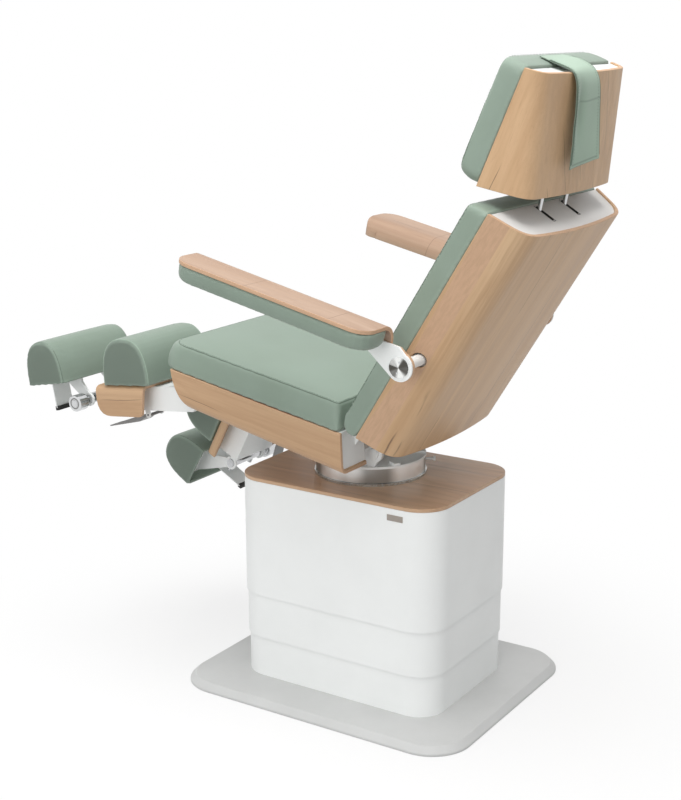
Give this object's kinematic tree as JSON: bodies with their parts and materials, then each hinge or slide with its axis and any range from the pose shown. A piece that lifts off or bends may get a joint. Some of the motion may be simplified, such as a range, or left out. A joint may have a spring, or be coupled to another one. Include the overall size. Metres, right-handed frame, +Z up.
{
  "type": "podiatry chair",
  "caption": "Treatment chair on a telescopic base with a turntable, a tilting seat, a reclining back, a headrest, armrests and folding leg rests",
  "frame": {"origin": "on the floor under the middle of the base", "axes": "X runs across the chair with the sitter's left at +X, the sitter faces -Y, Z is up"},
  "size_m": [0.942, 1.4548, 1.5705],
  "materials": {
    "floor_plate": "satin powder coat",
    "cover_inner": "satin powder coat",
    "column_outer": "anodised",
    "cover_mid": "satin powder coat",
    "column_mid": "anodised",
    "cover_outer": "satin powder coat",
    "deck": "oiled oak veneer",
    "column_inner": "anodised",
    "turn_ring": "turned",
    "turn_drum": "brushed",
    "turn_plate": "satin",
    "yoke": "satin",
    "lock_handle": "satin",
    "seat_shell": "oiled oak veneer",
    "seat_frame": "satin powder coat",
    "seat_cushion": "soft artificial leather",
    "leg_shaft": "ground",
    "back_shell": "oiled oak veneer",
    "back_cushion": "soft artificial leather",
    "back_cap": "smooth",
    "back_frame": "satin powder coat",
    "head_rods": "polished",
    "head_frame": "satin powder coat",
    "head_shell": "oiled oak veneer",
    "head_cushion": "soft artificial leather",
    "head_cap": "smooth",
    "head_strap": "soft artificial leather",
    "arm_wood_left": "oiled oak veneer",
    "arm_pad_left": "soft artificial leather",
    "arm_bracket_left": "satin powder coat",
    "arm_disc_left": "polished",
    "arm_wood_right": "oiled oak veneer",
    "arm_pad_right": "soft artificial leather",
    "arm_bracket_right": "satin powder coat",
    "arm_disc_right": "polished",
    "leg_channel_left": "satin powder coat",
    "leg_board_left": "oiled oak veneer",
    "calf_pad_left": "soft artificial leather",
    "leg_lever_left": "satin powder coat",
    "leg_channel_right": "satin powder coat",
    "leg_board_right": "oiled oak veneer",
    "calf_pad_right": "soft artificial leather",
    "leg_lever_right": "satin powder coat",
    "foot_rails_left": "polished",
    "foot_plate_left": "satin powder coat",
    "foot_pad_left": "soft artificial leather",
    "foot_bumper_left": "matt",
    "foot_knob_left": "polished",
    "foot_rails_right": "polished",
    "foot_plate_right": "satin powder coat",
    "foot_pad_right": "soft artificial leather",
    "foot_bumper_right": "matt",
    "foot_knob_right": "polished"
  },
  "bodies": {
    "base": {"floor_plate": "floor_plate", "cover_inner": "cover_inner", "column_outer": "column_outer"},
    "stage": {"cover_mid": "cover_mid", "column_mid": "column_mid"},
    "carriage": {"cover_outer": "cover_outer", "deck": "deck", "column_inner": "column_inner", "turn_ring": "turn_ring"},
    "turntable": {"turn_drum": "turn_drum", "turn_plate": "turn_plate", "yoke": "yoke"},
    "lock": {"lock_handle": "lock_handle"},
    "seat": {"seat_shell": "seat_shell", "seat_frame": "seat_frame", "seat_cushion": "seat_cushion", "leg_shaft": "leg_shaft"},
    "back": {"back_shell": "back_shell", "back_cushion": "back_cushion", "back_cap": "back_cap", "back_frame": "back_frame"},
    "head_carrier": {"head_rods": "head_rods"},
    "head": {"head_frame": "head_frame", "head_shell": "head_shell", "head_cushion": "head_cushion", "head_cap": "head_cap", "head_strap": "head_strap"},
    "arm_left": {"arm_wood_left": "arm_wood_left", "arm_pad_left": "arm_pad_left", "arm_bracket_left": "arm_bracket_left", "arm_disc_left": "arm_disc_left"},
    "leg_left": {"leg_channel_left": "leg_channel_left", "leg_board_left": "leg_board_left", "calf_pad_left": "calf_pad_left"},
    "lever_left": {"leg_lever_left": "leg_lever_left"},
    "foot_carriage_left": {"foot_rails_left": "foot_rails_left"},
    "foot_left": {"foot_plate_left": "foot_plate_left", "foot_pad_left": "foot_pad_left", "foot_bumper_left": "foot_bumper_left"},
    "knob_left": {"foot_knob_left": "foot_knob_left"},
    "arm_right": {"arm_wood_right": "arm_wood_right", "arm_pad_right": "arm_pad_right", "arm_bracket_right": "arm_bracket_right", "arm_disc_right": "arm_disc_right"},
    "leg_right": {"leg_channel_right": "leg_channel_right", "leg_board_right": "leg_board_right", "calf_pad_right": "calf_pad_right"},
    "lever_right": {"leg_lever_right": "leg_lever_right"},
    "foot_carriage_right": {"foot_rails_right": "foot_rails_right"},
    "foot_right": {"foot_plate_right": "foot_plate_right", "foot_pad_right": "foot_pad_right", "foot_bumper_right": "foot_bumper_right"},
    "knob_right": {"foot_knob_right": "foot_knob_right"}
  },
  "joints": [
    {"name": "lift", "type": "slide", "parent": "base", "child": "carriage", "axis": [0, 0, 1], "range_m": [-0.17, 0.17]},
    {"name": "lift_stage", "type": "slide", "parent": "base", "child": "stage", "axis": [0, 0, 1], "range_m": [-0.085, 0.085]},
    {"name": "swivel", "type": "hinge", "parent": "carriage", "child": "turntable", "pos_m": [0, -0.012, 0.57], "axis": [0, 0, 1], "range_deg": [-160, 160]},
    {"name": "lock_turn", "type": "hinge", "parent": "turntable", "child": "lock", "pos_m": [0, -0.012, 0.5783], "axis": [-0.5446, 0.8387, 0], "range_deg": [-90, 0]},
    {"name": "seat_tilt", "type": "hinge", "parent": "turntable", "child": "seat", "pos_m": [0, 0.066, 0.632], "axis": [-1, 0, 0], "range_deg": [-8, 8]},
    {"name": "back_recline", "type": "hinge", "parent": "seat", "child": "back", "pos_m": [0, 0.1035, 0.746], "axis": [-1, 0, 0], "range_deg": [-22, 38]},
    {"name": "head_tilt", "type": "hinge", "parent": "back", "child": "head_carrier", "pos_m": [0, 0.43911, 1.12464], "axis": [-1, 0, 0], "range_deg": [-4, 17]},
    {"name": "head_height", "type": "slide", "parent": "head_carrier", "child": "head", "axis": [0, 0.1908, 0.9816], "range_m": [0, 0.07]},
    {"name": "arm_left_swing", "type": "hinge", "parent": "back", "child": "arm_left", "pos_m": [0.35, 0.28, 0.921], "axis": [-1, 0, 0], "range_deg": [0, 90]},
    {"name": "leg_left_fold", "type": "hinge", "parent": "seat", "child": "leg_left", "pos_m": [0.141, -0.404, 0.747], "axis": [-1, 0, 0], "range_deg": [-55, 12]},
    {"name": "lever_left_squeeze", "type": "hinge", "parent": "leg_left", "child": "lever_left", "pos_m": [0.201, -0.54568, 0.66544], "axis": [-1, 0, 0], "range_deg": [0, 10]},
    {"name": "foot_left_slide", "type": "slide", "parent": "leg_left", "child": "foot_carriage_left", "axis": [0, -0.9936, -0.1132], "range_m": [-0.065, 0.05]},
    {"name": "foot_left_tilt", "type": "hinge", "parent": "foot_carriage_left", "child": "foot_left", "pos_m": [0.141, -0.7659, 0.67255], "axis": [-1, 0, 0], "range_deg": [-14, 7]},
    {"name": "knob_left_turn", "type": "hinge", "parent": "foot_carriage_left", "child": "knob_left", "pos_m": [0.25, -0.7659, 0.67255], "axis": [1, 0, 0], "continuous": true},
    {"name": "arm_right_swing", "type": "hinge", "parent": "back", "child": "arm_right", "pos_m": [-0.35, 0.28, 0.921], "axis": [-1, 0, 0], "range_deg": [0, 90]},
    {"name": "leg_right_fold", "type": "hinge", "parent": "seat", "child": "leg_right", "pos_m": [-0.141, -0.404, 0.747], "axis": [-1, 0, 0], "range_deg": [-8, 60]},
    {"name": "lever_right_squeeze", "type": "hinge", "parent": "leg_right", "child": "lever_right", "pos_m": [-0.201, -0.41418, 0.58384], "axis": [-1, 0, 0], "range_deg": [0, 10]},
    {"name": "foot_right_slide", "type": "slide", "parent": "leg_right", "child": "foot_carriage_right", "axis": [0, -0.454, -0.891], "range_m": [0, 0.1]},
    {"name": "foot_right_tilt", "type": "hinge", "parent": "foot_carriage_right", "child": "foot_right", "pos_m": [-0.141, -0.50989, 0.4665], "axis": [-1, 0, 0], "range_deg": [-18, 0]},
    {"name": "knob_right_turn", "type": "hinge", "parent": "foot_carriage_right", "child": "knob_right", "pos_m": [-0.25, -0.50989, 0.4665], "axis": [-1, 0, 0], "continuous": true}
  ],
  "couplings": [
    {"joint": "lift_stage", "follows": "lift", "ratio": 0.5}
  ]
}
